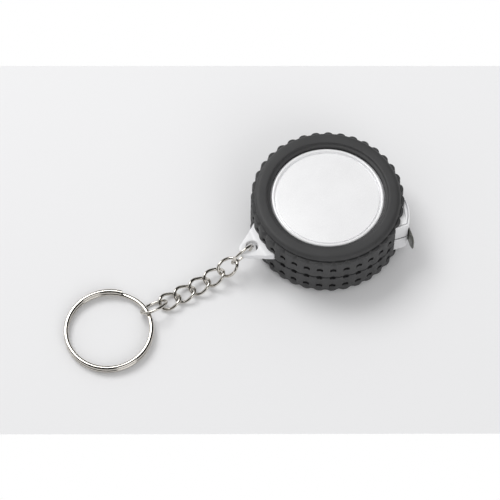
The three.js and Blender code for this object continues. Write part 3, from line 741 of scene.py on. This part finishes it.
def mouthBlock(side):
    m = mouth
    middle = case["middle"]
    radius, steps = m["fillet"]
    away, width, depth, slant = m["groove"]
    # insets of the top face, each with the rise that follows it: wall, fillet and groove
    course = [(m["draft"], m["halfHeight"] - radius - case["join"] - m["foot"])]
    for i in range(steps):
        before, after = (math.pi / 2 * (i + k) / steps for k in (0, 1))
        inward, upward = math.cos(before) - math.cos(after), math.sin(after) - math.sin(before)
        course.append((radius * inward, radius * upward))
    course += [(away, 0), (slant, -depth), (width, 0), (slant, depth)]
    piece = drawProfile("mouthBlock", [(x, y, middle + case["join"]) for x, y in mouthOutline()])
    fillAndRaise(m["foot"])
    for inward, upward in course:
        bpy.ops.mesh.inset(thickness=inward * mm, depth=0)
        if upward:
            bpy.ops.transform.translate(value=(0, 0, upward * mm))
    faceOut()
    if side < 0:
        bpy.ops.mesh.select_all(action="SELECT")
        bpy.ops.transform.resize(value=(1, 1, -1), center_override=(0, 0, middle * mm))
        faceOut()
    leaveEdit()
    half, inward, lip, channel = m["parting"]
    low, high = sorted((middle - side * overrun, middle + side * half))
    boolean(piece, bandTool("partingLine", overrun, -inward, low, high))
    if side < 0:
        boolean(piece, bandTool("partingChannel", -lip, -inward, middle - channel, middle))
    return piece


def cupOutline():
    c = case
    reach, depth = c["edge"]
    return [
        (0, c["plateRise"]), (c["radius"] - reach, c["plateRise"]), (c["radius"] - depth, c["plateRise"] - depth),
        (c["radius"], c["plateRise"] - reach), (c["radius"], c["join"]), (c["cavityRadius"], c["join"]),
        (c["cavityRadius"], c["cavityRise"]), (0, c["cavityRise"]),
    ]


def shellHalf(name, side):
    m = mouth
    middle = case["middle"]
    cup = spunRing(name, [(radius, side * rise) for radius, rise in cupOutline()], case["steps"])
    block = mouthBlock(side)
    low, high = sorted((middle - side * overrun, middle + side * case["cavityRise"]))
    boolean(block, cylinderTool(case["cavityRadius"], 0, 0, low, high, case["steps"]))
    boolean(cup, block, "UNION")
    # the tape's slot, the hollow beside it and the hook's seat, each from one corner to the other
    inside = case["cavityRadius"] / 2
    far, near, slotHalf = m["slot"]
    reach, hollowHalf = m["hollow"]
    for start, end, half in (
        ((inside, -near), (m["cutReach"], -far), slotHalf),
        ((inside, m["wall"] - far), (reach, -m["farSide"] - m["wall"]), hollowHalf),
        ((hook["back"] - case["gap"], -m["side"] - overrun), (m["cutReach"], -far), m["seatHalf"]),
    ):
        boolean(cup, boxTool((*start, middle - half), (*end, middle + half)))
    return cup


def earPiece():
    e = ear
    middle = case["middle"]
    reach, radius = e["hole"]
    half = e["thickness"] / 2
    plate = prism("ear", earOutline(), middle - half, middle + half)
    low, high = middle - 3 * overrun, middle + 3 * overrun
    boolean(plate, cylinderTool(radius, reach, 0, low, high))
    roundEdges(plate, e["edgeRound"], 3)
    rampEnd, rampRise = e["ramp"][-1][0], e["ramp"][0][1]
    root = prism("earRoot", earOutline(), middle - e["rootDrop"], middle + rampRise)
    slope = spunRing("earSlope", [(0, rampRise)] + e["ramp"] + [(rampEnd, -rampRise), (0, -rampRise)], 180)
    boolean(root, slope, "INTERSECT")
    boolean(root, cylinderTool(radius + e["rootRelief"], reach, 0, low, high))
    boolean(plate, root, "UNION")
    turnToEar(plate)
    inside = case["cavityRadius"] + case["gap"]
    boolean(plate, cylinderTool(inside, 0, 0, middle - 5 * overrun, middle + 5 * overrun, case["steps"]))
    return plate


def rearCaseShell():
    shell = shellHalf("rearCaseShell", -1)
    boolean(shell, centreTool("post"), "UNION")
    boolean(shell, earPiece(), "UNION")
    boolean(shell, centreTool("screwHole"))
    boolean(shell, centreTool("headSeat"))
    reach, side, half = centre["springSlot"]
    boolean(shell, boxTool((0, -side, case["middle"] - half), (reach, side, case["middle"] + half)))
    return shell


def frontCaseShell():
    shell = shellHalf("frontCaseShell", 1)
    boolean(shell, centreTool("boss"), "UNION")
    boolean(shell, centreTool("pilotHole"))
    cutEarRoom(shell, ear["shellRoom"])
    return shell


finishPiece(rearCaseShell(), absPlastic, "case", "rear_case_shell", 28)
finishPiece(frontCaseShell(), absPlastic, "case", "front_case_shell", 28)


def boreRivetHoles(piece):
    for x in hook["rivets"]:
        hole = cylinderTool(hook["rivetHole"], 0, 0, -overrun, overrun, 24)
        hole.rotation_euler[0] = math.pi / 2
        hole.location = Vector((x, -tape["offset"], case["middle"])) * mm
        applyTransform(hole)
        boolean(piece, hole)


def endHook():
    h = hook
    middle = case["middle"]
    inner = -tape["offset"] - tape["thickness"] / 2 - h["tapeGap"]
    outer = inner - h["leg"]
    face = h["back"] + h["plate"]
    bend = h["plate"] + h["leg"]
    small = h["innerBend"]
    outline = [(h["back"] - h["legLength"], outer), (h["back"] - small, outer)]
    outline += arc(h["back"] - small, outer - small, small, math.pi / 2, 0, 5)[1:]
    outline += [(h["back"], -h["reach"]), (face, -h["reach"])]
    outline += arc(face - bend, inner - bend, bend, 0, math.pi / 2, 8)
    outline += [(h["back"] - h["legLength"], inner)]
    bent = prism("endHook", outline, middle - h["width"] / 2, middle + h["width"] / 2)
    # the plate's front view, with two round corners at its free end
    half = h["width"] / 2
    c = h["corner"]
    front = (
        [(-half, overrun - tape["offset"])]
        + arc(c - half, c - h["reach"], c, math.pi, 1.5 * math.pi, 8)
        + arc(half - c, c - h["reach"], c, -math.pi / 2, 0, 8)
        + [(half, overrun - tape["offset"])]
    )
    shape = drawProfile("hookFront", [(face + overrun, y, middle + z) for z, y in front])
    bpy.ops.mesh.edge_face_add()
    depth = h["legLength"] + 3 * overrun
    bpy.ops.mesh.extrude_region_move(TRANSFORM_OT_translate={"value": (-depth * mm, 0, 0)})
    faceOut()
    leaveEdit()
    boolean(bent, shape, "INTERSECT")
    roundEdges(bent, h["edgeRound"], 2)
    boreRivetHoles(bent)
    return bent


finishPiece(endHook(), darkSteel, "tape", "end_hook", 30)


chain = {
    # half length, half width, twist and wire radius of the two plain end links and of the curb links
    "loop": (3.8, 2.9, 0.0, 0.42),
    "curb": (2.95, 2.3, -0.75, 0.45),
    "wireSteps": 4,         # round a quarter of the wire
    "loopSteps": 14,        # along a quarter of the loop
    # each link from the ear to the ring: reach and rise of its middle, slope down and roll in degrees
    "links": [
        (27.2, -1.28, 43, 76), (31.69, -4.52, 26, -14), (36.13, -6.16, 14.5, 0), (40.79, -7.04, 7, 0),
        (45.53, -7.41, 2, 0), (50.29, -7.5, 0, 0), (55.37, -6.62, 0, 44.7),
    ],
}


def alongChain():
    return Matrix.Translation((0, 0, case["middle"] * mm)) @ Matrix.Rotation(math.radians(ear["angle"]), 4, "Z")


def putInPlace(piece, matrix):
    onlyThis(piece)
    piece.matrix_world = matrix
    applyTransform(piece)


def wireLoop(name, halfLength, halfWidth, twist, wireRadius):
    leaveEdit()
    bpy.ops.object.select_all(action="DESELECT")
    bpy.ops.curve.primitive_bezier_circle_add(radius=mm, location=(0, 0, 0))
    loop = bpy.context.object
    loop.name = name
    curve = loop.data
    curve.dimensions = "3D"
    curve.bevel_depth = wireRadius * mm
    curve.bevel_resolution = chain["wireSteps"]
    curve.resolution_u = chain["loopSteps"]
    bpy.ops.object.mode_set(mode="EDIT")
    bpy.ops.curve.select_all(action="SELECT")
    bpy.ops.curve.handle_type_set(type="ALIGNED")
    bpy.ops.transform.resize(value=(halfLength, halfWidth, 1))
    bpy.ops.object.mode_set(mode="OBJECT")
    # a curb link's handles are lifted at its ends and lowered at its sides, which twists the loop
    for point in curve.splines[0].bezier_points:
        along = (point.handle_right - point.co).normalized()
        atEnd = abs(point.co.x) > abs(point.co.y)
        turnsLeft = (point.co.x * along.y - point.co.y * along.x) > 0
        lift = twist * 4 / 3 * mm * (1 if atEnd else -1) * (1 if turnsLeft else -1)
        point.handle_right.z += lift
        point.handle_left.z -= lift
    onlyThis(loop)
    bpy.ops.object.convert(target="MESH")
    loop = bpy.context.object
    edit(loop)
    faceOut()
    leaveEdit()
    return loop


endLink = wireLoop("endLink", *chain["loop"])
curbLink = wireLoop("curbLink", *chain["curb"])
for number, (x, z, slope, roll) in enumerate(chain["links"], 1):
    isEnd = number in (1, len(chain["links"]))
    link = copyOf(endLink if isEnd else curbLink, f"chainLink{number}")
    putInPlace(link, alongChain()
               @ Matrix.Translation((x * mm, 0, z * mm))
               @ Matrix.Rotation(math.radians(slope), 4, "Y")
               @ Matrix.Rotation(math.radians(roll), 4, "X"))
    finishPiece(link, nickel, f"link_{number}", f"chain_link_{number}", 60)
for model in (endLink, curbLink):
    bpy.data.objects.remove(model)


ring = {
    "meanRadius": 11.85,
    "wire": (1.3, 1.12),        # width, height
    "corner": (0.52, 4),        # rounding of the wire's edges, steps
    "turnGap": 0.15,
    "tilt": 1.95,               # degrees, where the ring leans on the last link
    "start": 166.8,             # degrees, where the wire begins
    "crossover": 57.0,          # degrees over which it climbs to its second turn
    "foot": (81.32, -9.08),     # reach and rise of the point furthest from the case
    "flatSteps": 100,
    "climbSteps": 19,
}


def spinWire(steps, angle):
    bpy.ops.mesh.spin(steps=steps, angle=angle, center=(0, 0, 0), axis=(0, 0, 1))


def splitRing():
    r = ring
    leaveEdit()
    bpy.ops.object.select_all(action="DESELECT")
    bpy.ops.mesh.primitive_plane_add(size=1, location=(0, 0, 0))
    piece = bpy.context.object
    piece.name = "splitRing"
    piece.scale = (r["wire"][0] * mm, r["wire"][1] * mm, 1)
    piece.rotation_euler = (math.pi / 2, 0, 0)
    applyTransform(piece)
    bpy.ops.object.mode_set(mode="EDIT")
    bpy.ops.mesh.select_all(action="SELECT")
    corner, cornerSteps = r["corner"]
    bpy.ops.mesh.bevel(offset=corner * mm, segments=cornerSteps, affect="VERTICES", profile=0.5)
    bpy.ops.mesh.select_all(action="SELECT")
    bpy.ops.transform.translate(value=(r["meanRadius"] * mm, 0, r["wire"][1] / 2 * mm))
    climb = (r["wire"][1] + r["turnGap"]) * mm
    flatAngle = math.radians(360 - r["crossover"])
    climbSteps = r["climbSteps"]
    spinWire(r["flatSteps"], flatAngle)
    for i in range(climbSteps):
        before, after = ((1 - math.cos(math.pi * (i + k) / climbSteps)) / 2 for k in (0, 1))
        spinWire(1, math.radians(r["crossover"] / climbSteps))
        bpy.ops.transform.translate(value=(0, 0, climb * (after - before)))
    spinWire(r["flatSteps"], flatAngle)
    faceOut()
    leaveEdit()
    return piece


def ringPlace():
    r = ring
    x, z = r["foot"]
    return (alongChain()
            @ Matrix.Translation((x * mm, 0, z * mm))
            @ Matrix.Rotation(math.radians(r["tilt"]), 4, "Y")
            @ Matrix.Translation((-r["meanRadius"] * mm, 0, 0))
            @ Matrix.Rotation(math.radians(r["start"]), 4, "Z"))


splitRingPiece = splitRing()
putInPlace(splitRingPiece, ringPlace())
finishPiece(splitRingPiece, nickel, "ring", "split_ring", 40)


coils = {
    "stepsPerTurn": 36,
    # radii of the first and the last turn, turns, start in radians, width, thickness, points before the coil
    "tapeWinding": (10.2, 12.02, 9.0, -math.pi / 2, 6.0, 0.13, []),
    "powerSpring": (2.95, 8.45, 6.5, 0.288, 5.8, 0.25, [(1.55, 0), (2.9, 0)]),
}


def spiralStrip(name):
    inner, outer, turns, start, width, thickness, lead = coils[name]
    count = round(turns * coils["stepsPerTurn"])
    places = list(lead)
    for i in range(count + 1):
        radius = inner + (outer - inner) * i / count
        angle = start + 2 * math.pi * turns * i / count
        places.append((radius * math.cos(angle), radius * math.sin(angle)))
    strip = drawProfile(name, [(x, y, case["middle"] - width / 2) for x, y in places], closed=False)
    bpy.ops.mesh.extrude_region_move(TRANSFORM_OT_translate={"value": (0, 0, width * mm)})
    leaveEdit()
    thicken(strip, thickness)
    return strip


def tapeStrip():
    t = tape
    start, end = t["ends"]
    along, across = t["steps"]
    low = case["middle"] - t["width"] / 2
    places = [(start + (end - start) * i / along, -t["offset"], low) for i in range(along + 1)]
    strip = drawProfile("tapeStrip", places, closed=False)
    for _ in range(across):
        bpy.ops.mesh.extrude_region_move(TRANSFORM_OT_translate={"value": (0, 0, t["width"] / across * mm)})
    leaveEdit()
    thicken(strip, t["thickness"])
    boreRivetHoles(strip)
    return strip


strip = tapeStrip()
dress(strip, enamel)
smooth(strip, 40)
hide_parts("tape_lead")
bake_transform(strip)
print("made", strip.name, len(strip.data.polygons), "faces")

finishPiece(spiralStrip("tapeWinding"), enamel, "reel", "tape_winding", 40)
finishPiece(spiralStrip("powerSpring"), springStrip, "case", "power_spring", 40)


# these keep the CAD's own solids
for nodeName, finish in {
    "tape_reel": acetal, "case_screw": zinc, "hook_rivet_1": zinc, "hook_rivet_2": zinc,
}.items():
    dress(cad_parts[nodeName], finish)
print("dressed the reel, the screw and the rivets")


view = {
    "position": (-136.4, -321.1, 617.7),
    "forward": (0.1608, 0.4541, -0.8763),
    "turn": 19.5,      # degrees between the picture's right and the CAD's X
    "roll": 0.91,
    "lens": 180,
    "sensor": 36,
    "picture": 500,    # pixels along a side of the photograph
    "floor": -1.4,
    "floorSize": 6000,
    "topEdge": 66,     # picture rows between which the floor is grey
    "bottomEdge": 434,
}


def seenFrom(right, away, up):
    # a direction or a place given as the picture shows it, on level ground
    turn = math.radians(view["turn"])
    cosine, sine = math.cos(turn), math.sin(turn)
    return Vector((right * cosine + away * sine, away * cosine - right * sine, up))


def cameraAxes():
    forward = Vector(view["forward"]).normalized()
    right = seenFrom(1, 0, 0)
    up = right.cross(forward)
    roll = math.radians(view["roll"])
    rolledRight = math.cos(roll) * right + math.sin(roll) * up
    rolledUp = math.cos(roll) * up - math.sin(roll) * right
    return rolledRight.normalized(), rolledUp.normalized(), forward


def placeCamera():
    right, up, forward = cameraAxes()
    data = bpy.data.cameras.new("photoCamera")
    data.lens = view["lens"]
    data.sensor_width = view["sensor"]
    data.clip_end = 10
    camera = bpy.data.objects.new("photoCamera", data)
    bpy.context.collection.objects.link(camera)
    matrix = Matrix((right, up, -forward)).transposed().to_4x4()
    matrix.translation = Vector(view["position"]) * mm
    camera.matrix_world = matrix
    bpy.context.scene.camera = camera


def floorPoint(column, row):
    right, up, forward = cameraAxes()
    half = view["picture"] / 2
    scale = view["sensor"] / view["lens"] / view["picture"]
    ray = forward + right * (column - half) * scale - up * (row - half) * scale
    start = Vector(view["position"])
    return start + ray * ((view["floor"] - start.z) / ray.z)


def distanceAlong(tree, direction, place):
    node = addNode(tree, "ShaderNodeVectorMath", {"operation": "DOT_PRODUCT", 1: direction}, {0: place})
    return node.outputs["Value"]


def floorMaterial():
    # Matt paper sheet in a light tent: grey between the photograph's two white margins, a little darker
    # towards the viewer.
    material, tree, place, shader = newMaterial("mattWhitePaper", {"Roughness": 0.9, "Specular IOR Level": 0.1})
    grain = noise(tree, place, 1.2, 4)
    top, bottom = (floorPoint(view["picture"] / 2, view[row]) for row in ("topEdge", "bottomEdge"))
    closer = (bottom - top).normalized()
    # painted shade: the paper's colour darkens a little towards the viewer, standing in for the light falling off
    # there
    nearness = addNode(tree, "ShaderNodeMapRange", {
        1: top.dot(closer) * mm, 2: bottom.dot(closer) * mm,
    }, {0: distanceAlong(tree, closer, place)}).outputs[0]
    tone = ramp(tree, nearness, [(0.0, "#e9e9ea"), (1.0, "#e4e4e5")])
    tree.links.new(tone, shader.inputs["Base Color"])
    bump(tree, shader, grain, 0.02, 0.15)
    edge = (floorPoint(view["picture"], view["topEdge"]) - floorPoint(0, view["topEdge"])).normalized()
    away = Vector((-edge.y, edge.x, 0))
    depth = distanceAlong(tree, away, place)
    beyond = addMath(tree, "GREATER_THAN", depth, top.dot(away) * mm)
    before = addMath(tree, "LESS_THAN", depth, bottom.dot(away) * mm)
    share = addMath(tree, "MULTIPLY", addMath(tree, "ADD", beyond, before), seenDirectly(tree))
    glow = addNode(tree, "ShaderNodeEmission", {"Color": (1, 1, 1, 1), "Strength": 1.0})
    mix = addNode(tree, "ShaderNodeMixShader", links={0: share, 1: shader.outputs[0], 2: glow.outputs[0]})
    output = next(n for n in tree.nodes if n.type == "OUTPUT_MATERIAL")
    tree.links.new(mix.outputs[0], output.inputs["Surface"])
    return material


def placeFloor():
    leaveEdit()
    bpy.ops.object.select_all(action="DESELECT")
    bpy.ops.mesh.primitive_plane_add(size=view["floorSize"] * mm, location=(0, 0, view["floor"] * mm))
    floor = bpy.context.object
    applyTransform(floor)
    floor.name = "floor"
    floor.data.materials.append(floorMaterial())


lamps = {
    # place relative to the picture (right, away, up), size, power
    "keySoftbox": ((-430, 390, 870), 540, 5.3),
    "frontSoftbox": ((260, -490, 400), 400, 0.9),
}
lampTarget = (-20, -10, 0)


def placeLamp(name, place, size, power):
    spot = seenFrom(*place) * mm
    data = bpy.data.lights.new(name, "AREA")
    data.shape = "SQUARE"
    data.size = size * mm
    data.energy = power
    lamp = bpy.data.objects.new(name, data)
    bpy.context.collection.objects.link(lamp)
    lamp.location = spot
    lamp.rotation_euler = (Vector(lampTarget) * mm - spot).to_track_quat("-Z", "Y").to_euler()


tent = {
    "fill": ([(0.0, 0.3), (0.9, 0.5)], 1.33),       # tone by height that lights the object, strength
    # what the camera and shiny pieces see: white walls by height, and a bright window in a dark studio
    "walls": [(0.0, 1.0), (0.12, 1.0), (0.2, 0.0), (1.0, 0.0)],
    "window": (-0.75, 0.45, 0.48),                  # its direction relative to the picture
    "studio": [(0.0, 0.03), (0.78, 0.04), (0.9, 0.55), (1.0, 0.9)],
}


def placeWorld():
    # White tent walls with a dark studio above them, which the plated wire mirrors.
    world = bpy.data.worlds.new("lightTent")
    bpy.context.scene.world = world
    world.use_nodes = True
    tree = world.node_tree
    tree.nodes.clear()
    place = addNode(tree, "ShaderNodeTexCoord").outputs["Generated"]
    height = addNode(tree, "ShaderNodeSeparateXYZ", links={0: place}).outputs["Z"]
    tones, strength = tent["fill"]
    soft = addNode(tree, "ShaderNodeBackground", {"Strength": strength}, {"Color": ramp(tree, height, tones)})
    studio = ramp(tree, distanceAlong(tree, seenFrom(*tent["window"]), place), tent["studio"])
    walls = ramp(tree, height, tent["walls"])
    around = addNode(tree, "ShaderNodeVectorMath", {"operation": "MAXIMUM"}, {0: walls, 1: studio}).outputs[0]
    white = addNode(tree, "ShaderNodeBackground", {"Strength": 1.0}, {"Color": around})
    mix = addNode(tree, "ShaderNodeMixShader", links={
        0: seenDirectly(tree), 1: soft.outputs[0], 2: white.outputs[0]})
    addNode(tree, "ShaderNodeOutputWorld", links={"Surface": mix.outputs[0]})


placeFloor()
for lampName, lampValues in lamps.items():
    placeLamp(lampName, *lampValues)
placeWorld()
placeCamera()
bpy.context.scene.view_settings.view_transform = "Standard"
print("floor, light and camera are placed")
